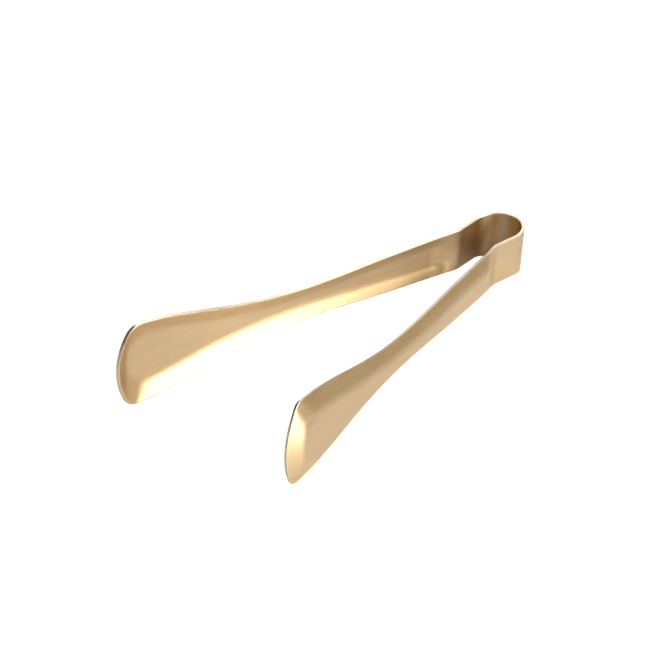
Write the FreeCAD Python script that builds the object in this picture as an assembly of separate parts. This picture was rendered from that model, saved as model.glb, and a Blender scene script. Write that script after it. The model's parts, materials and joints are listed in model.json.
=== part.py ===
"""Spring ice tongs, pressed and bent from one strip of sheet steel.

The strip stands on its edge. It runs round a keyhole-shaped bow, turns outwards at a
tight neck on each side, and goes on as two shallow channelled arms that widen into
dished blades. The bow is the spring. It is divided into short segments with round
knuckles between them, so that its bending can be posed as small equal turns.

The tongs are first built about their own mid-plane: the crown of the bow is at the
origin, the blades point along -X and the sheet stands along Z. They are then tipped so
that the crown and both blades stand on the ground plane Z = 0.
"""
import FreeCAD, Part
import math
import os

from FreeCAD import Placement, Rotation, Vector

# Driving dimensions, in millimetres and degrees
THICKNESS = 1.2            # sheet
CROWN_RADIUS = 8.45        # middle of the sheet, round the bow
FLANK_LEAN = 4.5           # the bow's straight flanks lean in towards the neck
FLANK_LENGTH = 9.8
NECK_RADIUS = 5.0          # the bend outwards where bow meets arm
ARM_ANGLE = 10.8           # each arm's web from the middle plane, at rest
CROWN_HALF_HEIGHT = 8.4
FLANK_HALF_HEIGHT = 7.5

# Half height of the flat blank along the arm: (distance from the neck, half height)
ARM_OUTLINE = (
    (0.0, 7.5), (14.0, 7.4), (32.0, 7.0), (62.0, 6.0), (80.0, 6.65),
    (97.0, 8.8), (113.0, 11.8), (126.0, 13.9), (135.0, 14.5), (148.0, 14.5),
)
TIP_REACH = 142.7          # neck to the middle of the tip, along the web
TIP_RADIUS = 22.0          # convex end of the blade
CORNER_RADIUS = 5.5

# Dishing: the sheet's edges are folded inwards as soft-cornered flanges
ARM_FLANGE = 4.0           # width, from the edge to the middle of the fold
BLADE_FLANGE = 5.2
FOLD_WIDTH = 2.8           # the fold between flange and web is spread over this
CHANNEL_DEPTH = 2.5        # in the arms
DISH_DEPTH = 3.5           # in the blades
RIM_DRAW_IN = 0.7          # the blades' edges stand this far inside the bow's line
CHANNEL_RUN_IN = 11.0      # the channel grows from nothing over this length
CORNER_EASE = 2.7          # rounds the dish where its side and tip flanges meet
CORNER_EASE_GAIN = 0.8
DISH_START = 72.0
DISH_FULL = 118.0

# Flexing of the bow
SEGMENTS = ("shoulder", "side", "flank")
KNUCKLE_CLEARANCE = 0.1
HINGE_COUNT = len(SEGMENTS) + 1

# Fineness of the sculpted skins
ARM_STEP = 2.0
NECK_STEP = 0.4
ROWS_ACROSS = 31
SKIN_OVERRUN = 1.0         # the skins run this far past the tip before it is cut
CUTTER_MARGIN = 12.0
CORNER_OVERLAP = 0.03      # the tip cutter bites this much, so that it never just grazes
MEASURING_DEFLECTION = 0.05

Y_AXIS = Vector(0, 1, 0)
Z_AXIS = Vector(0, 0, 1)
ORIGIN = Vector(0, 0, 0)

CROWN_ARC = CROWN_RADIUS * math.radians(90 + FLANK_LEAN)
NECK_TURN = FLANK_LEAN + ARM_ANGLE
NECK_ARC = NECK_RADIUS * math.radians(NECK_TURN)
NECK_END = CROWN_ARC + FLANK_LENGTH + NECK_ARC


# ---- the strip's line, seen from above -------------------------------------------------

def advance(point, heading, length, curvature):
    """The point and heading reached by going length along an arc or a straight."""
    if curvature == 0:
        step = Vector(math.cos(heading), math.sin(heading), 0) * length
        return point + step, heading
    turned = heading + length * curvature
    step = Vector(math.sin(turned) - math.sin(heading), math.cos(heading) - math.cos(turned), 0)
    return point + step / curvature, turned


def plan(s):
    """Point and unit tangent of the strip's middle line, s along it from the crown to +Y."""
    point = ORIGIN
    heading = math.pi / 2
    runs = (
        (CROWN_ARC, 1 / CROWN_RADIUS),
        (FLANK_LENGTH, 0),
        (NECK_ARC, -1 / NECK_RADIUS),
        (math.inf, 0),
    )
    for length, curvature in runs:
        gone = min(s, length)
        point, heading = advance(point, heading, gone, curvature)
        s -= gone
        if s <= 0:
            break
    return point, Vector(math.cos(heading), math.sin(heading), 0)


def outward(tangent):
    return Vector(tangent.y, -tangent.x, 0)


def hinge_distance(index):
    """The hinges stand in the middles of equal shares of the bow, crown to neck."""
    return NECK_END * (index - 0.5) / HINGE_COUNT


# ---- the strip's height and dishing ----------------------------------------------------

def smooth_step(x, low, high):
    t = min(max((x - low) / (high - low), 0.0), 1.0)
    return t * t * (3 - 2 * t)


def outline_slope(index):
    first = max(index - 1, 0)
    last = min(index + 1, len(ARM_OUTLINE) - 1)
    rise = ARM_OUTLINE[last][1] - ARM_OUTLINE[first][1]
    return rise / (ARM_OUTLINE[last][0] - ARM_OUTLINE[first][0])


def arm_half_height(a):
    """Half height of the blank at a from the neck: a smooth curve through ARM_OUTLINE."""
    if a <= 0:
        return FLANK_HALF_HEIGHT
    for i in range(len(ARM_OUTLINE) - 1):
        (a0, h0), (a1, h1) = ARM_OUTLINE[i], ARM_OUTLINE[i + 1]
        if a <= a1:
            break
    span = a1 - a0
    t = (a - a0) / span
    return (
        h0 * (1 + 2 * t) * (1 - t) ** 2
        + h1 * t * t * (3 - 2 * t)
        + span * outline_slope(i) * t * (1 - t) ** 2
        - span * outline_slope(i + 1) * t * t * (1 - t)
    )


def edge_distance(a, z):
    """How far a point of the blank lies inside its outline, eased round the tip's corners."""
    side = arm_half_height(a) - abs(z)
    past_centre = a - (TIP_REACH - TIP_RADIUS)
    if past_centre < 0:
        return side
    tip = TIP_RADIUS - math.hypot(past_centre, z)
    nearest = min(side, tip)
    ease = CORNER_EASE + CORNER_EASE_GAIN * max(nearest, 0.0)
    return nearest - ease * max(0.0, 1.0 - abs(side - tip) / ease) ** 2 / 4


def edge_draw_in(a):
    """How far the blank's edges stand inside the bow's line."""
    return RIM_DRAW_IN * smooth_step(a, DISH_START, DISH_FULL)


def dish_depth(a):
    """How far the web stands outside the edges."""
    blade = smooth_step(a, DISH_START, DISH_FULL)
    return CHANNEL_DEPTH * smooth_step(a, 0.0, CHANNEL_RUN_IN) + (DISH_DEPTH - CHANNEL_DEPTH) * blade


def dishing(a, z):
    """How far the sheet stands in from the web's face: a straight flange with a soft fold."""
    width = ARM_FLANGE + (BLADE_FLANGE - ARM_FLANGE) * smooth_step(a, DISH_START, DISH_FULL)
    past_fold = width - edge_distance(a, z)
    ramp = min(max(past_fold / FOLD_WIDTH + 0.5, 0.0), 1.0)
    folded = FOLD_WIDTH * ramp ** 2 / 2 + max(0.0, past_fold - FOLD_WIDTH / 2)
    return dish_depth(a) * folded / width


def sheet_point(s, v):
    """Middle of the sheet at s along the strip, v from -1 at its lower edge to +1."""
    point, tangent = plan(s)
    a = s - NECK_END
    z = v * arm_half_height(a)
    pressed = dishing(a, z) - dish_depth(a) + edge_draw_in(a)
    return point - outward(tangent) * pressed + Z_AXIS * z


def sheet_normal(s, v):
    """Unit normal of the sheet, pointing to the outside of the tongs."""
    step = 0.01
    along = sheet_point(s + step, v) - sheet_point(s - step, v)
    across = sheet_point(s, v + step) - sheet_point(s, v - step)
    return along.cross(across).normalize()


def skin_point(s, v, side):
    return sheet_point(s, v) + sheet_normal(s, v) * (side * THICKNESS / 2)


# ---- bow segments ----------------------------------------------------------------------

def bow_span(start, end, offset):
    """Edges of the sheet's outside or inside face line between two distances."""
    edges = []
    cuts = [start] + [c for c in (CROWN_ARC,) if start < c < end] + [end]
    for first, last in zip(cuts, cuts[1:]):
        points = []
        for s in (first, (first + last) / 2, last):
            point, tangent = plan(s)
            points.append(point + outward(tangent) * offset)
        if last <= CROWN_ARC:
            edges.append(Part.Arc(*points).toShape())
        else:
            edges.append(Part.LineSegment(points[0], points[2]).toShape())
    return edges


def knuckle_edge(s):
    """The half circle that closes a segment's crown end, centred on its hinge."""
    point, tangent = plan(s)
    side = outward(tangent) * (THICKNESS / 2)
    back = point - tangent * (THICKNESS / 2)
    return Part.Arc(point + side, back, point - side).toShape()


def square_edge(s):
    point, tangent = plan(s)
    side = outward(tangent) * (THICKNESS / 2)
    return Part.LineSegment(point + side, point - side).toShape()


def upright(face):
    """A plan shape as a wall higher than the bow, to be trimmed to the bow's elevation."""
    face.translate(Z_AXIS * (-2 * CROWN_HALF_HEIGHT))
    return face.extrude(Z_AXIS * (4 * CROWN_HALF_HEIGHT))


def knuckle_socket(s):
    """The round hollow in the next segment that the knuckle at s turns in."""
    point, _ = plan(s)
    base = point - Z_AXIS * (2 * CROWN_HALF_HEIGHT)
    return Part.makeCylinder(THICKNESS / 2 + KNUCKLE_CLEARANCE, 4 * CROWN_HALF_HEIGHT, base)


def bow_elevation(slope):
    """The bow's outline from the side: level under the crown at rest, then tapering to the flank."""
    front = THICKNESS / 2
    x_first = plan(hinge_distance(1))[0].x
    profile = (
        (front, CROWN_HALF_HEIGHT),
        (x_first, CROWN_HALF_HEIGHT + slope * (front - x_first)),
        (plan(CROWN_ARC)[0].x, FLANK_HALF_HEIGHT),
        (plan(NECK_END)[0].x, FLANK_HALF_HEIGHT),
    )
    near_y = -2 * CROWN_RADIUS
    corners = [Vector(x, near_y, z) for x, z in profile]
    corners += [Vector(x, near_y, -z) for x, z in reversed(profile)]
    return Part.Face(Part.makePolygon(corners + corners[:1])).extrude(Y_AXIS * -2 * near_y)


def bow_segment(index, elevation):
    """The segment after hinge index on the +Y side: knuckle at its start, socket at its end."""
    start, end = hinge_distance(index), hinge_distance(index + 1)
    outside = bow_span(start, end, THICKNESS / 2)
    inside = bow_span(start, end, -THICKNESS / 2)
    wire = Part.Wire(Part.__sortEdges__(outside + inside + [knuckle_edge(start), square_edge(end)]))
    return upright(Part.Face(wire)).cut(knuckle_socket(end)).common(elevation)


def bow_crown(elevation):
    """The bow's root segment, with a socket at each end."""
    reach = hinge_distance(1)
    half = [square_edge(0), square_edge(reach)]
    half += bow_span(0, reach, THICKNESS / 2) + bow_span(0, reach, -THICKNESS / 2)
    right = upright(Part.Face(Part.Wire(Part.__sortEdges__(half)))).cut(knuckle_socket(reach))
    left = right.mirror(ORIGIN, Y_AXIS)
    return right.fuse(left).removeSplitter().common(elevation)


# ---- arms ------------------------------------------------------------------------------

def arm_distances():
    """Where along the strip the arm's skins are shaped, closer together round the neck."""
    start = hinge_distance(HINGE_COUNT)
    dense_end = NECK_END + CHANNEL_RUN_IN
    dense = math.ceil((dense_end - start) / NECK_STEP)
    finish = NECK_END + TIP_REACH + SKIN_OVERRUN
    wide = math.ceil((finish - dense_end) / ARM_STEP)
    near = [start + (dense_end - start) * i / dense for i in range(dense)]
    return near + [dense_end + (finish - dense_end) * i / wide for i in range(wide + 1)]


def clamped_knots(pole_count):
    """Evenly spaced knots and their multiplicities for a cubic that reaches its end poles."""
    knots = list(range(pole_count - 2))
    return knots, [4] + [1] * (len(knots) - 2) + [4]


def arm_skin(side):
    """The arm's outside (+1) or inside (-1) face, as a cubic B-spline surface."""
    across = [2 * j / (ROWS_ACROSS - 1) - 1 for j in range(ROWS_ACROSS)]
    poles = [[skin_point(s, v, side) for v in across] for s in arm_distances()]
    u_knots, u_mults = clamped_knots(len(poles))
    v_knots, v_mults = clamped_knots(len(across))
    surface = Part.BSplineSurface()
    surface.buildFromPolesMultsKnots(poles, u_mults, v_mults, u_knots, v_knots, False, False, 3, 3)
    return surface


def arm_knuckle_faces():
    """The half-round end that closes the arm's skins at its hinge."""
    s = hinge_distance(HINGE_COUNT)
    lift = Z_AXIS * FLANK_HALF_HEIGHT
    faces = []
    for shift in (lift, lift * -1):
        end = Part.Face(Part.Wire([knuckle_edge(s), square_edge(s)]))
        end.translate(shift)
        faces.append(end)
    nose = knuckle_edge(s)
    nose.translate(lift * -1)
    return faces + [nose.extrude(lift * 2)]


def arm_slab():
    """The arm as a closed sheet, from its knuckle to a square end past the tip."""
    outside, inside = arm_skin(1), arm_skin(-1)
    _, u_tip, v_low, v_high = outside.bounds()
    faces = [outside.toShape(), inside.toShape()] + arm_knuckle_faces()
    for iso, value in (("uIso", u_tip), ("vIso", v_low), ("vIso", v_high)):
        pair = [getattr(surface, iso)(value).toShape() for surface in (outside, inside)]
        faces.append(Part.makeRuledSurface(*pair))
    shell = Part.Shell(faces)
    shell.sewShape()
    return Part.Solid(shell)


def tip_cutter():
    """All that lies beyond the blade's convex tip and its rounded corners."""
    limit = arm_half_height(TIP_REACH) + CORNER_OVERLAP
    corner_z = limit - CORNER_RADIUS
    tip_centre = TIP_REACH - TIP_RADIUS
    corner_a = tip_centre + math.sqrt((TIP_RADIUS - CORNER_RADIUS) ** 2 - corner_z ** 2)
    meet = math.atan2(corner_z, corner_a - tip_centre)
    half_way = (meet + math.pi / 2) / 2

    def on_circle(centre_a, centre_z, radius, angle):
        return centre_a + radius * math.cos(angle), centre_z + radius * math.sin(angle)

    start = (corner_a, limit)
    middle = on_circle(corner_a, corner_z, CORNER_RADIUS, half_way)
    tangent_point = on_circle(corner_a, corner_z, CORNER_RADIUS, meet)
    far_a = TIP_REACH + CUTTER_MARGIN
    far_z = limit + CUTTER_MARGIN

    neck, direction = plan(NECK_END)
    normal = outward(direction)

    def placed(pair, mirror=1):
        return neck + direction * pair[0] + Z_AXIS * (pair[1] * mirror) - normal * CUTTER_MARGIN

    edges = [Part.Arc(placed(tangent_point), placed((TIP_REACH, 0)), placed(tangent_point, -1)).toShape()]
    for mirror in (1, -1):
        edges.append(Part.Arc(*(placed(p, mirror) for p in (start, middle, tangent_point))).toShape())
        edges.append(Part.LineSegment(placed(start, mirror), placed((corner_a, far_z), mirror)).toShape())
        edges.append(Part.LineSegment(placed((corner_a, far_z), mirror), placed((far_a, far_z), mirror)).toShape())
    edges.append(Part.LineSegment(placed((far_a, far_z)), placed((far_a, far_z), -1)).toShape())
    face = Part.Face(Part.Wire(Part.__sortEdges__(edges)))
    return face.extrude(normal * 2 * CUTTER_MARGIN)


def arm():
    return arm_slab().cut(tip_cutter())


# ---- assembly --------------------------------------------------------------------------

def resting_slope():
    """How steeply the tongs lie tipped when the crown and the blades share a table."""
    front = THICKNESS / 2
    rim = [skin_point(s, -1, 1) for s in arm_distances() if s < NECK_END + TIP_REACH - CORNER_RADIUS]
    return max((-p.z - CROWN_HALF_HEIGHT) / (front - p.x) for p in rim)


def resting_placement(shapes, slope):
    """Tips the tongs onto the ground plane and centres them over the origin."""
    tipped = Placement(ORIGIN, Rotation(Y_AXIS, math.degrees(math.atan(slope))))
    whole = Part.makeCompound([shape.transformed(tipped.toMatrix()) for shape in shapes])
    points = whole.tessellate(MEASURING_DEFLECTION)[0]
    middle = (min(p.x for p in points) + max(p.x for p in points)) / 2
    shift = Vector(-middle, 0, -min(p.z for p in points))
    return Placement(shift, Rotation()).multiply(tipped)


def tongs():
    slope = resting_slope()
    elevation = bow_elevation(slope)
    nodes = {"bow_crown": bow_crown(elevation)}
    right = {f"bow_{{}}_{name}": bow_segment(i + 1, elevation) for i, name in enumerate(SEGMENTS)}
    right["{}_arm"] = arm()
    for pattern, solid in right.items():
        nodes[pattern.format("right")] = solid
        nodes[pattern.format("left")] = solid.mirror(ORIGIN, Y_AXIS)
    placement = resting_placement(nodes.values(), slope)
    return {name: shape.transformed(placement.toMatrix()) for name, shape in nodes.items()}, placement


os.makedirs("parts", exist_ok=True)
NODES, RESTING_PLACEMENT = tongs()
for node_name, node_shape in NODES.items():
    print(node_name, node_shape.isValid(), len(node_shape.Solids), round(node_shape.Volume, 2))
    node_shape.exportStep(f"parts/{node_name}.step")
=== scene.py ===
"""The visible ice tongs: one brushed, gold-coated strip of sheet steel, bent and dished.

The strip is laid out flat as a blank with softly broken edges, dished, bent along the
tongs' line and tipped onto the floor. The blank is cut into pieces in the middles of the
flexing segments, and each piece holds one hinge.

Sizes are in millimetres and degrees until a point is placed in the scene. On the blank,
s runs along the strip from the crown, a along the arm from the end of the neck, z across
the strip and n through the sheet. The design's x and y lie in the plane of the bending.
"""
import json
import math

import bpy
from mathutils import Matrix, Vector


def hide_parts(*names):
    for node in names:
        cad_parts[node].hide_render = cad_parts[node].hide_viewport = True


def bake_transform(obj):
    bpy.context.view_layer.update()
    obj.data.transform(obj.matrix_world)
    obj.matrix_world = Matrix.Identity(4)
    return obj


MM = 0.001

# The strip, as in the design
THICKNESS = 1.2
CROWN_RADIUS = 8.45        # middle of the sheet, round the bow
FLANK_LEAN = 4.5           # the bow's straight flanks lean in towards the neck
FLANK_LENGTH = 9.8
NECK_RADIUS = 5.0          # the bend outwards where bow meets arm
ARM_ANGLE = 10.8           # each arm's web from the middle plane, at rest
CROWN_HALF_HEIGHT = 8.4
FLANK_HALF_HEIGHT = 7.5

# Half height of the blank along the arm: (a, half height)
ARM_OUTLINE = (
    (0.0, 7.5), (14.0, 7.4), (32.0, 7.0), (62.0, 6.0), (80.0, 6.65),
    (97.0, 8.8), (113.0, 11.8), (126.0, 13.9), (135.0, 14.5), (148.0, 14.5),
)
TIP_REACH = 142.7          # a at the middle of the tip
TIP_RADIUS = 22.0          # convex end of the blade
CORNER_RADIUS = 5.5

# Dishing: the sheet's edges are folded inwards as soft-cornered flanges
ARM_FLANGE = 4.0           # width, from the edge to the middle of the fold
BLADE_FLANGE = 5.2
FOLD_WIDTH = 2.8           # the fold between flange and web is spread over this
CHANNEL_DEPTH = 2.5        # in the arms
DISH_DEPTH = 3.5           # in the blades
RIM_DRAW_IN = 0.7          # the blades' edges stand this far inside the bow's line
CHANNEL_RUN_IN = 11.0      # the channel grows from nothing over this length
CORNER_EASE = 2.7          # rounds the dish where its side and tip flanges meet
CORNER_EASE_GAIN = 0.8
DISH_START = 72.0
DISH_FULL = 118.0

# Each side of the bow flexes as these segments, with its hinges at equal steps
SEGMENTS = ("shoulder", "side", "flank")
HINGE_COUNT = len(SEGMENTS) + 1

CROWN_ARC = CROWN_RADIUS * math.radians(90 + FLANK_LEAN)
NECK_ARC = NECK_RADIUS * math.radians(FLANK_LEAN + ARM_ANGLE)
NECK_END = CROWN_ARC + FLANK_LENGTH + NECK_ARC
HINGE_STEP = NECK_END / HINGE_COUNT
RUNS = (
    (CROWN_ARC, 1 / CROWN_RADIUS),
    (FLANK_LENGTH, 0.0),
    (NECK_ARC, -1 / NECK_RADIUS),
    (math.inf, 0.0),
)

# Fineness of the mesh
COLUMNS = 40
BOW_STEP = 0.45
ARM_STEP = 1.4
TIP_STEP = 0.8
TIP_BEND_START = 112.0     # from here the rows of the mesh bow out to follow the tip
RIM_RADIUS = 0.28          # the broken edge between the sheet's faces and its rim
RIM_SEGMENTS = 5
SLOPE_STEP = 0.01

BLEND_MARGIN = 0.5         # points this far inside a piece's cuts are found on the plan, and not used further


# ---- the blank and its bending ---------------------------------------------------------

def plan(s):
    """Point and heading of the strip's middle line, s along it from the crown to +Y."""
    x, y, heading = 0.0, 0.0, math.pi / 2
    for length, curvature in RUNS:
        gone = min(s, length)
        turned = heading + gone * curvature
        if curvature:
            x += (math.sin(turned) - math.sin(heading)) / curvature
            y += (math.cos(heading) - math.cos(turned)) / curvature
        else:
            x += gone * math.cos(heading)
            y += gone * math.sin(heading)
        heading = turned
        s -= gone
        if s <= 0:
            break
    return x, y, heading


def smooth_step(x, low, high):
    t = min(max((x - low) / (high - low), 0.0), 1.0)
    return t * t * (3 - 2 * t)


def outline_slope(index):
    first = max(index - 1, 0)
    last = min(index + 1, len(ARM_OUTLINE) - 1)
    rise = ARM_OUTLINE[last][1] - ARM_OUTLINE[first][1]
    return rise / (ARM_OUTLINE[last][0] - ARM_OUTLINE[first][0])


def arm_half_height(a):
    """Half height of the blank's arm: a smooth curve through ARM_OUTLINE."""
    for i in range(len(ARM_OUTLINE) - 1):
        (a0, h0), (a1, h1) = ARM_OUTLINE[i], ARM_OUTLINE[i + 1]
        if a <= a1:
            break
    span = a1 - a0
    t = (a - a0) / span
    return (
        h0 * (1 + 2 * t) * (1 - t) ** 2
        + h1 * t * t * (3 - 2 * t)
        + span * outline_slope(i) * t * (1 - t) ** 2
        - span * outline_slope(i + 1) * t * t * (1 - t)
    )


HALF_SHEET = THICKNESS / 2
FIRST_HINGE_X, FIRST_HINGE_Y, _ = plan(HINGE_STEP / 2)
CROWN_ARC_X = plan(CROWN_ARC)[0]


def half_height(s):
    """Half height of the blank anywhere along it.

    The crown's edges are level once the tongs are tipped, so round the crown the height
    changes with x at the slope of the tilt. Past the first hinge it tapers to the flank's.
    """
    if s >= NECK_END:
        return arm_half_height(s - NECK_END)
    x = plan(s)[0]
    first_height = CROWN_HALF_HEIGHT + TILT_SLOPE * (HALF_SHEET - FIRST_HINGE_X)
    if x > FIRST_HINGE_X:
        return CROWN_HALF_HEIGHT + TILT_SLOPE * (HALF_SHEET - x)
    share = min(1.0, (FIRST_HINGE_X - x) / (FIRST_HINGE_X - CROWN_ARC_X))
    return first_height + share * (FLANK_HALF_HEIGHT - first_height)


TIP_CENTRE = TIP_REACH - TIP_RADIUS


def edge_distance(a, z):
    """How far a point of the arm lies inside its outline, eased round the tip's corners."""
    side = arm_half_height(a) - abs(z)
    past_centre = a - TIP_CENTRE
    if past_centre < 0:
        return side
    tip = TIP_RADIUS - math.hypot(past_centre, z)
    nearest = min(side, tip)
    ease = CORNER_EASE + CORNER_EASE_GAIN * max(nearest, 0.0)
    return nearest - ease * max(0.0, 1.0 - abs(side - tip) / ease) ** 2 / 4


def inside_edge(s, z):
    """How far a point anywhere on the blank lies inside its outline."""
    if s >= NECK_END:
        return max(0.0, edge_distance(s - NECK_END, z))
    return half_height(s) - abs(z)


def edge_draw_in(a):
    """How far the blank's edges stand inside the bow's line."""
    return RIM_DRAW_IN * smooth_step(a, DISH_START, DISH_FULL)


def dish_depth(a):
    """How far the web stands outside the edges."""
    channel = CHANNEL_DEPTH * smooth_step(a, 0.0, CHANNEL_RUN_IN)
    return channel + (DISH_DEPTH - CHANNEL_DEPTH) * smooth_step(a, DISH_START, DISH_FULL)


def dishing(a, z):
    """How far the sheet stands in from the web's face: a straight flange with a soft fold."""
    if a <= 0:
        return 0.0
    widening = smooth_step(a, DISH_START, DISH_FULL)
    width = ARM_FLANGE + (BLADE_FLANGE - ARM_FLANGE) * widening
    past_fold = width - edge_distance(a, z)
    ramp = min(max(past_fold / FOLD_WIDTH + 0.5, 0.0), 1.0)
    folded = FOLD_WIDTH * ramp ** 2 / 2 + max(0.0, past_fold - FOLD_WIDTH / 2)
    return dish_depth(a) * folded / width


def middle_of_sheet(s, z):
    x, y, heading = plan(s)
    a = s - NECK_END
    pressed = dishing(a, z) - dish_depth(a) + edge_draw_in(a)
    return Vector((x - math.sin(heading) * pressed, y + math.cos(heading) * pressed, z))


def sheet_frame(s, z):
    """A point of the bent sheet, how it moves with s and with z, and its outside normal."""
    along = middle_of_sheet(s + SLOPE_STEP, z) - middle_of_sheet(s - SLOPE_STEP, z)
    across = middle_of_sheet(s, z + SLOPE_STEP) - middle_of_sheet(s, z - SLOPE_STEP)
    return (middle_of_sheet(s, z), along / (2 * SLOPE_STEP), across / (2 * SLOPE_STEP),
            along.cross(across).normalized())


def sheet_normal(s, z):
    return sheet_frame(s, z)[3]


# ---- the blank's outline ---------------------------------------------------------------

# The tip's upper corner: the centre of its arc, and the angles from the strip's direction
# at which it meets the tip's own arc and is half way round
CORNER_Z = arm_half_height(TIP_REACH - CORNER_RADIUS) - CORNER_RADIUS
CORNER_A = TIP_CENTRE + math.sqrt((TIP_RADIUS - CORNER_RADIUS) ** 2 - CORNER_Z ** 2)
CORNER_MEET = math.atan2(CORNER_Z, CORNER_A - TIP_CENTRE)
CORNER_MIDDLE = (CORNER_MEET + math.pi / 2) / 2


def spread(start, end, step):
    """Evenly spaced numbers from start up to, not including, end."""
    count = max(1, math.ceil((end - start) / step))
    return [start + (end - start) * i / count for i in range(count)]


def side_point(s):
    """A point on the blank's upper edge and the edge's outward normal."""
    rise = (half_height(s + SLOPE_STEP) - half_height(s - SLOPE_STEP)) / (2 * SLOPE_STEP)
    size = math.hypot(rise, 1.0)
    return (s, half_height(s)), (-rise / size, 1 / size)


def arc_point(centre_a, centre_z, radius, angle):
    """A point on an arc of the blank's edge and the edge's outward normal."""
    cosine, sine = math.cos(angle), math.sin(angle)
    return (NECK_END + centre_a + radius * cosine, centre_z + radius * sine), (cosine, sine)


def row_step(a):
    if a < CHANNEL_RUN_IN:
        return BOW_STEP
    return ARM_STEP if a < TIP_BEND_START else TIP_STEP


def upper_edge(start, end):
    """The upper edge from start to end, or to the middle of the tip's corner if end is None."""
    stop = NECK_END + CORNER_A if end is None else end
    changes = (NECK_END + CHANNEL_RUN_IN, NECK_END + TIP_BEND_START)
    cuts = [start] + [change for change in changes if start < change < stop] + [stop]
    edge = []
    for first, last in zip(cuts, cuts[1:]):
        edge += [side_point(s) for s in spread(first, last, row_step(first - NECK_END))]
    if end is None:
        arc_step = TIP_STEP / CORNER_RADIUS
        turn = math.pi / 2 - CORNER_MIDDLE
        angles = [math.pi / 2 - t for t in spread(0.0, turn, arc_step)] + [CORNER_MIDDLE]
        edge += [arc_point(CORNER_A, CORNER_Z, CORNER_RADIUS, angle) for angle in angles]
    else:
        edge.append(side_point(stop))
    return edge


def tip_edge():
    """The tip from the middle of its lower corner to the middle of its upper one."""
    corner_length = CORNER_RADIUS * (CORNER_MIDDLE - CORNER_MEET)
    length = 2 * (corner_length + TIP_RADIUS * CORNER_MEET)
    edge = []
    for j in range(COLUMNS + 1):
        gone = length * j / COLUMNS - length / 2
        sign = 1 if gone > 0 else -1
        if abs(gone) <= TIP_RADIUS * CORNER_MEET:
            edge.append(arc_point(TIP_CENTRE, 0.0, TIP_RADIUS, gone / TIP_RADIUS))
            continue
        angle = CORNER_MEET + (abs(gone) - TIP_RADIUS * CORNER_MEET) / CORNER_RADIUS
        (s, z), (ns, nz) = arc_point(CORNER_A, CORNER_Z, CORNER_RADIUS, angle)
        edge.append(((s, z * sign), (ns, nz * sign)))
    return edge


def inset(edge_point, distance):
    (s, z), (ns, nz) = edge_point
    return Vector((s - ns * distance, z - nz * distance))


def mirrored(edge_point):
    (s, z), (ns, nz) = edge_point
    return (s, -z), (ns, -nz)


def straight_row(bottom, top):
    return [bottom.lerp(top, j / COLUMNS) for j in range(COLUMNS + 1)]


def blank_grid(upper, tip):
    """Rows of points across the blank, inset so that the rims' rounding fits outside them."""
    tops = [inset(edge_point, RIM_RADIUS) for edge_point in upper]
    grid = [straight_row(Vector((top.x, -top.y)), top) for top in tops]
    if not tip:
        return grid
    tip_row = [inset(edge_point, RIM_RADIUS) for edge_point in tip]
    chord = straight_row(tip_row[0], tip_row[-1])
    last_a = tops[-1].x - NECK_END
    for row, top in zip(grid, tops):
        bow = smooth_step(top.x - NECK_END, TIP_BEND_START, last_a)
        for j in range(COLUMNS + 1):
            row[j] = row[j] + (tip_row[j] - chord[j]) * bow
    return grid


# ---- meshes ----------------------------------------------------------------------------

# Steps round a rim's section, from the outside skin to the inside one: the nearer skin,
# and the angle of the surface's normal out of the sheet's plane
TURNS = [math.pi / 2 * k / RIM_SEGMENTS for k in range(RIM_SEGMENTS)]
RIM_PROFILE = (
    [(1, math.pi / 2 - t) for t in TURNS] + [(1, 0.0), (-1, 0.0)]
    + [(-1, -t) for t in TURNS[1:]] + [(-1, -math.pi / 2)]
)


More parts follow.
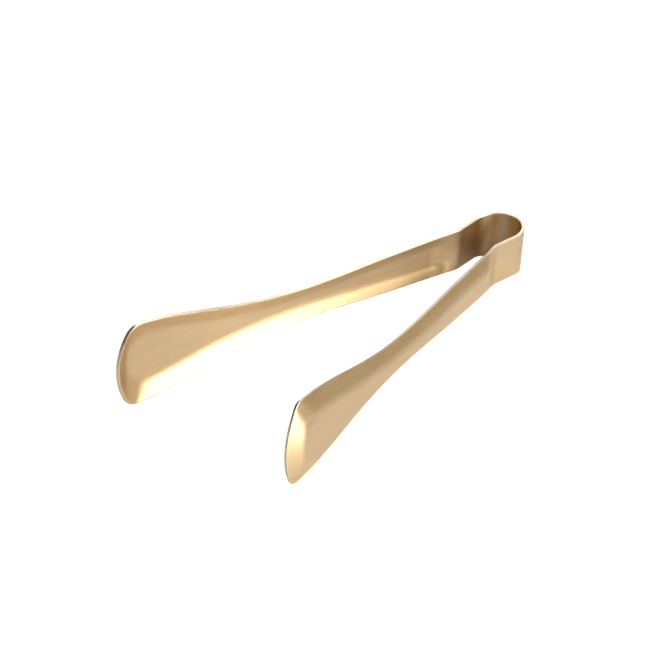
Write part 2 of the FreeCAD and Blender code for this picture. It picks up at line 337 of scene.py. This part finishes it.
class SheetPiece:
    """One piece of the strip: two skins, rims on its free edges and flat ends at its cuts.

    A corner of a face is a vertex's number, the normal there and its place on the blank.
    """

    def __init__(self, mirror, start, end):
        self.mirror = mirror
        self.points, self.edge_distances = [], []
        self.faces, self.normals, self.places = [], [], []
        self.upper = upper_edge(start, end)
        self.tip = tip_edge() if end is None else None
        self.grid = blank_grid(self.upper, self.tip)
        self.skins = {}
        self.add_skins()
        lower_rings, upper_rings = self.add_rims()
        self.add_end(0, -1, lower_rings, upper_rings)
        if not self.tip:
            self.add_end(len(self.upper) - 1, 1, lower_rings, upper_rings)

    def add_point(self, s, z, n):
        point, _, _, normal = sheet_frame(s, z)
        self.points.append(point + normal * n)
        self.edge_distances.append(inside_edge(s, z) * MM)
        return len(self.points) - 1

    def add_face(self, corners):
        """Adds a face from its corners, in order round it as seen from outside the sheet."""
        if self.mirror:
            corners = corners[::-1]
        self.faces.append([c[0] for c in corners])
        self.normals += [c[1] for c in corners]
        self.places += [c[2] for c in corners]

    def add_skins(self):
        for side in (1, -1):
            self.skins[side] = [[self.add_point(p.x, p.y, side * HALF_SHEET) for p in row]
                                for row in self.grid]
        facing = [[sheet_normal(p.x, p.y) for p in row] for row in self.grid]

        def corner(side, i, j):
            return self.skins[side][i][j], facing[i][j] * side, tuple(self.grid[i][j])

        for i in range(len(self.grid) - 1):
            for j in range(COLUMNS):
                ring = ((i, j), (i + 1, j), (i + 1, j + 1), (i, j + 1))
                self.add_face([corner(1, *ij) for ij in ring])
                self.add_face([corner(-1, *ij) for ij in ring[::-1]])

    def rim_ring(self, edge_point, i, j, on_tip):
        """Corners round the rim's section at one point of the edge, from skin to skin."""
        (s, z), (ns, nz) = edge_point
        ring = []
        for place, (side, angle) in enumerate(RIM_PROFILE):
            back = RIM_RADIUS * (1 - math.cos(angle))
            ps, pz = s - ns * back, z - nz * back
            n = side * (HALF_SHEET - RIM_RADIUS) + RIM_RADIUS * math.sin(angle)
            _, along, across, normal = sheet_frame(ps, pz)
            edge_direction = along * -nz + across * ns
            outwards = edge_direction.cross(normal).normalized()
            if outwards.dot(along * ns + across * nz) < 0:
                outwards = -outwards
            if place in (0, len(RIM_PROFILE) - 1):
                vertex = self.skins[side][i][j]
            else:
                vertex = self.add_point(ps, pz, n)
            depth = HALF_SHEET - n
            spot = (ps + depth, pz) if on_tip else (ps, pz + math.copysign(depth, pz))
            ring.append((vertex, outwards * math.cos(angle) + normal * math.sin(angle), spot))
        return ring

    def add_rim(self, rings):
        for first, second in zip(rings, rings[1:]):
            for k in range(len(RIM_PROFILE) - 1):
                self.add_face([first[k], first[k + 1], second[k + 1], second[k]])

    def add_rims(self):
        """Adds the rims of both edges, and the tip's, and returns the edges' rings."""
        lower = [mirrored(p) for p in self.upper]
        lower_rings = [self.rim_ring(p, i, 0, False) for i, p in enumerate(lower)]
        upper_rings = [self.rim_ring(p, i, COLUMNS, False) for i, p in enumerate(self.upper)]
        self.add_rim(lower_rings)
        self.add_rim(upper_rings[::-1])
        if self.tip:
            last = len(self.upper) - 1
            tip_rings = [self.rim_ring(self.tip[j], last, j, True) for j in range(1, COLUMNS)]
            self.add_rim([lower_rings[-1]] + tip_rings + [upper_rings[-1]])
        return lower_rings, upper_rings

    def add_end(self, i, way, lower_rings, upper_rings):
        """A flat end at row i, hidden inside the strip where the next piece begins."""
        outside, inside = self.skins[1][i], self.skins[-1][i]
        loops = [[outside[j], outside[j + 1], inside[j + 1], inside[j]] for j in range(COLUMNS)]
        loops.append([c[0] for c in upper_rings[i]])
        loops.append([c[0] for c in lower_rings[i]][::-1])
        s = self.grid[i][0].x
        heading = plan(s)[2]
        facing = Vector((math.cos(heading), math.sin(heading), 0)) * way
        for loop in loops:
            corners = [(vertex, facing, (s, 0.0)) for vertex in loop]
            self.add_face(corners if way == -1 else corners[::-1])

    def placed(self, name):
        """The piece as an object of the scene, in its own place."""
        flip = Matrix.Diagonal((1, -1 if self.mirror else 1, 1))
        data = bpy.data.meshes.new(name)
        spots = [TURN @ (flip @ p) * MM + SHIFT for p in self.points]
        data.from_pydata(spots, [], self.faces)
        data.polygons.foreach_set("use_smooth", [True] * len(data.polygons))
        layer = data.uv_layers.new(name="blank")
        layer.data.foreach_set("uv", [x * MM for place in self.places for x in place])
        distances = data.attributes.new("edge_distance", "FLOAT", "POINT")
        distances.data.foreach_set("value", self.edge_distances)
        data.normals_split_custom_set([(TURN @ (flip @ n)).normalized() for n in self.normals])
        data.update()
        piece = bpy.data.objects.new(name, data)
        bpy.context.scene.collection.objects.link(piece)
        piece.data.materials.append(GOLD_STEEL)
        return piece


# ---- finish ----------------------------------------------------------------------------

GOLD_DEEP = (0.715, 0.53, 0.312)
GOLD_PALE = (0.82, 0.624, 0.378)
GOLD_RUBBED = (0.88, 0.74, 0.54)         # where the coating is worn thin
ANISOTROPY = 0.6
GLOSS_TURN = 0.25                        # of a full turn: the gloss spreads across the scratches

# Patterns: noise cells per metre along and across the strip, and where each one starts
SCRATCHES = ((20.0, 2600.0), (3.1, 5.27))
CLOUDS = ((60.0, 300.0), (11.3, 19.21))
PATCHES = ((260.0, 420.0), (7.9, 13.43))
PATTERN_DETAIL = 2.0
PATTERN_RANGE = (0.3, 0.7)               # where nearly all of a noise's values lie

BRUSHED_ROUGHNESS = (0.30, 0.41)
CLOUDED_ROUGHNESS = (-0.01, 0.01)        # added to the brushed one
WORN_ROUGHNESS = -0.05                   # added where the coating is worn
SCRATCH_STRENGTH = 0.18
SCRATCH_DEPTH = 0.00002                  # metres
EDGE_WEAR_REACH = (0.0002, 0.0009)       # metres from the edge: fully worn, not worn
PATCHY_WEAR = (0.25, 1.0)                # the share of it that is left in places


class MaterialNodes:
    """A material's nodes, and short ways to add the ones that the gold is made of."""

    def __init__(self, material):
        material.use_nodes = True
        self.nodes, self.links = material.node_tree.nodes, material.node_tree.links
        self.shader = self.nodes["Principled BSDF"]

    def noise(self, place, scale, start):
        mapping = self.nodes.new("ShaderNodeMapping")
        mapping.inputs["Scale"].default_value = (*scale, 1.0)
        mapping.inputs["Location"].default_value = (*start, 0.0)
        self.links.new(place, mapping.inputs["Vector"])
        texture = self.nodes.new("ShaderNodeTexNoise")
        texture.inputs["Scale"].default_value = 1.0
        texture.inputs["Detail"].default_value = PATTERN_DETAIL
        self.links.new(mapping.outputs["Vector"], texture.inputs["Vector"])
        return texture.outputs["Fac"]

    def ranged(self, value, low, high, start=PATTERN_RANGE[0], stop=PATTERN_RANGE[1]):
        """What goes from low to high as value goes from start to stop."""
        remap = self.nodes.new("ShaderNodeMapRange")
        remap.inputs["From Min"].default_value = start
        remap.inputs["From Max"].default_value = stop
        remap.inputs["To Min"].default_value = low
        remap.inputs["To Max"].default_value = high
        self.links.new(value, remap.inputs["Value"])
        return remap.outputs["Result"]

    def combined(self, operation, first, second):
        maths = self.nodes.new("ShaderNodeMath")
        maths.operation = operation
        self.links.new(first, maths.inputs[0])
        self.links.new(second, maths.inputs[1])
        return maths.outputs[0]

    def mixed(self, share, first, second):
        """A colour between first and second, which are colours or the outputs of nodes."""
        mix = self.nodes.new("ShaderNodeMix")
        mix.data_type = "RGBA"
        self.links.new(share, mix.inputs["Factor"])
        for socket, colour in (("A", first), ("B", second)):
            if isinstance(colour, tuple):
                mix.inputs[socket].default_value = (*colour, 1.0)
            else:
                self.links.new(colour, mix.inputs[socket])
        return mix.outputs["Result"]


def gold_steel():
    """Thin gold coating on steel that was brushed along the strip."""
    material = bpy.data.materials.new("gold_steel")
    made = MaterialNodes(material)
    nodes, links, shader = made.nodes, made.links, made.shader
    shader.inputs["Metallic"].default_value = 1.0
    shader.inputs["Anisotropic"].default_value = ANISOTROPY
    shader.inputs["Anisotropic Rotation"].default_value = GLOSS_TURN
    tangent = nodes.new("ShaderNodeTangent")
    tangent.direction_type = "UV_MAP"
    tangent.uv_map = "blank"
    links.new(tangent.outputs["Tangent"], shader.inputs["Tangent"])

    on_blank = nodes.new("ShaderNodeUVMap")
    on_blank.uv_map = "blank"
    place = on_blank.outputs["UV"]
    scratches = made.noise(place, *SCRATCHES)
    clouds = made.noise(place, *CLOUDS)
    patches = made.noise(place, *PATCHES)

    # the coating is rubbed thin and smooth along the sheet's edges
    from_edge = nodes.new("ShaderNodeAttribute")
    from_edge.attribute_name = "edge_distance"
    near_edge = made.ranged(from_edge.outputs["Fac"], 1.0, 0.0, *EDGE_WEAR_REACH)
    wear = made.combined("MULTIPLY", near_edge, made.ranged(patches, *PATCHY_WEAR))

    scratched = made.ranged(scratches, *BRUSHED_ROUGHNESS)
    brushed = made.combined("ADD", scratched, made.ranged(clouds, *CLOUDED_ROUGHNESS))
    worn = made.ranged(wear, 0.0, WORN_ROUGHNESS, 0.0, 1.0)
    links.new(made.combined("ADD", brushed, worn), shader.inputs["Roughness"])

    # clouds and scratches each give half of the coating's tone
    halves = [made.ranged(pattern, 0.0, 0.5) for pattern in (clouds, scratches)]
    gold = made.mixed(made.combined("ADD", *halves), GOLD_DEEP, GOLD_PALE)
    links.new(made.mixed(wear, gold, GOLD_RUBBED), shader.inputs["Base Color"])

    bump = nodes.new("ShaderNodeBump")
    bump.inputs["Strength"].default_value = SCRATCH_STRENGTH
    bump.inputs["Distance"].default_value = SCRATCH_DEPTH
    links.new(scratches, bump.inputs["Height"])
    links.new(bump.outputs["Normal"], shader.inputs["Normal"])
    return material


# ---- studio ----------------------------------------------------------------------------

CAMERA_AZIMUTH = -52.179   # of the picture's right
CAMERA_ELEVATION = 31.408  # of the camera, seen from its target
CAMERA_ROLL = 2.536
CAMERA_TARGET = Vector((-13.942, 3.226, 12.779))
CAMERA_DISTANCE = 1005.092
CAMERA_LENS = 172.09
SENSOR_WIDTH = 36.0


def direction_to(azimuth, elevation):
    """Unit vector towards a place given by its angles in degrees, azimuth from +X."""
    azimuth, elevation = math.radians(azimuth), math.radians(elevation)
    return Vector((math.cos(azimuth) * math.cos(elevation),
                   math.sin(azimuth) * math.cos(elevation), math.sin(elevation)))


def place_camera():
    roll = math.radians(CAMERA_ROLL)
    right = direction_to(CAMERA_AZIMUTH, 0)
    back = direction_to(CAMERA_AZIMUTH - 90, CAMERA_ELEVATION)
    up = back.cross(right)
    rolled_right = right * math.cos(roll) + up * math.sin(roll)
    rolled_up = up * math.cos(roll) - right * math.sin(roll)
    camera = bpy.data.objects.new("camera", bpy.data.cameras.new("camera"))
    camera.data.lens = CAMERA_LENS
    camera.data.sensor_width = SENSOR_WIDTH
    turn = Matrix((rolled_right, rolled_up, back)).transposed().to_4x4()
    spot = (CAMERA_TARGET + back * CAMERA_DISTANCE) * MM
    camera.matrix_world = Matrix.Translation(spot) @ turn
    bpy.context.scene.collection.objects.link(camera)
    bpy.context.scene.camera = camera


FLOOR_REACH = 12.0         # metres
FLOOR_TONE = 0.8
FLOOR_ROUGHNESS = 0.25
BACKDROP_GLOW = 0.8


def pale_floor():
    """A pale satin floor that glows where the camera sees it, so that it stays white."""
    data = bpy.data.meshes.new("floor")
    corners = ((-1, -1), (1, -1), (1, 1), (-1, 1))
    spots = [(FLOOR_REACH * x, FLOOR_REACH * y, 0) for x, y in corners]
    data.from_pydata(spots, [], [(0, 1, 2, 3)])
    floor = bpy.data.objects.new("floor", data)
    bpy.context.scene.collection.objects.link(floor)
    material = bpy.data.materials.new("pale_floor")
    made = MaterialNodes(material)
    nodes, links, shader = made.nodes, made.links, made.shader
    shader.inputs["Base Color"].default_value = (FLOOR_TONE, FLOOR_TONE, FLOOR_TONE, 1.0)
    shader.inputs["Roughness"].default_value = FLOOR_ROUGHNESS
    shader.inputs["Emission Color"].default_value = (1.0, 1.0, 1.0, 1.0)
    seen = nodes.new("ShaderNodeLightPath")
    glow = nodes.new("ShaderNodeMath")
    glow.operation = "MULTIPLY"
    glow.inputs[1].default_value = BACKDROP_GLOW
    links.new(seen.outputs["Is Camera Ray"], glow.inputs[0])
    links.new(glow.outputs[0], shader.inputs["Emission Strength"])
    floor.data.materials.append(material)


# Soft zones of the studio: azimuth and elevation of the middle, its half width, how much
# further it takes to fade out (degrees), and the light that comes from it
DIM_ROOM = (0.11, 0.09, 0.07)
LIGHT_ZONES = (
    (-80, 30, 14, 16, (5.3, 5.15, 4.6)),     # the softbox beside the blades
    (-92, 4, 10, 16, (3.0, 2.95, 2.85)),     # its reflector, low down
    (-22, 12, 24, 14, (0.30, 0.24, 0.12)),   # a dull warm wall behind the near arm
    (38, 32, 12, 18, (0.8, 0.77, 0.7)),      # a pale wall beyond the bow
    (8, 62, 16, 22, (1.5, 1.68, 2.15)),      # cool daylight, high beyond the bow
)


def studio_light():
    """The studio as the metal sees it: a dim room with soft bright zones."""
    world = bpy.data.worlds.new("studio")
    world.use_nodes = True
    bpy.context.scene.world = world
    nodes, links = world.node_tree.nodes, world.node_tree.links
    direction = nodes.new("ShaderNodeTexCoord").outputs["Generated"]
    light = None
    for azimuth, elevation, half_width, fade, colour in LIGHT_ZONES:
        towards = nodes.new("ShaderNodeVectorMath")
        towards.operation = "DOT_PRODUCT"
        towards.inputs[1].default_value = direction_to(azimuth, elevation)
        links.new(direction, towards.inputs[0])
        share = nodes.new("ShaderNodeMapRange")
        share.interpolation_type = "SMOOTHSTEP"
        share.inputs["From Min"].default_value = math.cos(math.radians(half_width + fade))
        share.inputs["From Max"].default_value = math.cos(math.radians(half_width))
        links.new(towards.outputs["Value"], share.inputs["Value"])
        zone = nodes.new("ShaderNodeVectorMath")
        zone.operation = "MULTIPLY_ADD"
        zone.inputs[1].default_value = colour
        zone.inputs[2].default_value = DIM_ROOM
        links.new(share.outputs["Result"], zone.inputs[0])
        if light is not None:
            links.new(light, zone.inputs[2])
        light = zone.outputs["Vector"]
    links.new(light, nodes["Background"].inputs["Color"])


# ---- build -----------------------------------------------------------------------------

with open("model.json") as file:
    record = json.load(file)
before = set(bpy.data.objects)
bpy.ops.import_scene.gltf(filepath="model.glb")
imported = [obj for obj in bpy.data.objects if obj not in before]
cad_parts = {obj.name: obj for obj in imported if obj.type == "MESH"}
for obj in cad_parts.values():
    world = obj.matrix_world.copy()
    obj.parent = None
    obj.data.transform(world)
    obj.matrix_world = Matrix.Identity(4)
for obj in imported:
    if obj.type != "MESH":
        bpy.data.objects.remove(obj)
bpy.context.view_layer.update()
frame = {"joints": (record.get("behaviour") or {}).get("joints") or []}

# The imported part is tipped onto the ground: its first hinge shows how far and where
first_hinge = next(j for j in frame["joints"] if j["name"] == "right_flex_1")
up_axis = Vector(first_hinge["axis"])
TILT_SLOPE = up_axis.x / up_axis.z
TURN = Matrix.Rotation(math.atan2(up_axis.x, up_axis.z), 3, "Y")
SHIFT = Vector(first_hinge["pos_m"]) - TURN @ Vector((FIRST_HINGE_X, FIRST_HINGE_Y, 0)) * MM

bpy.context.scene.view_settings.view_transform = "Standard"
GOLD_STEEL = gold_steel()
place_camera()
pale_floor()
studio_light()

for side, mirror in (("right", False), ("left", True)):
    bodies = ["bow_crown"] + [f"bow_{side}_{name}" for name in SEGMENTS] + [f"{side}_arm"]
    for i in range(HINGE_COUNT):
        start, stop = HINGE_STEP * i, HINGE_STEP * (i + 1)
        end = None if i == HINGE_COUNT - 1 else stop
        name = f"sheet_{bodies[i] if i else 'crown_' + side}"
        piece = SheetPiece(mirror, start, end).placed(name)
        for s in (start + BLEND_MARGIN, stop - BLEND_MARGIN):
            x, y, _ = plan(s)
        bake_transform(piece)
        replaced = [bodies[i + 1]] + (["bow_crown"] if i == 0 and not mirror else [])
        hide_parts(*replaced)
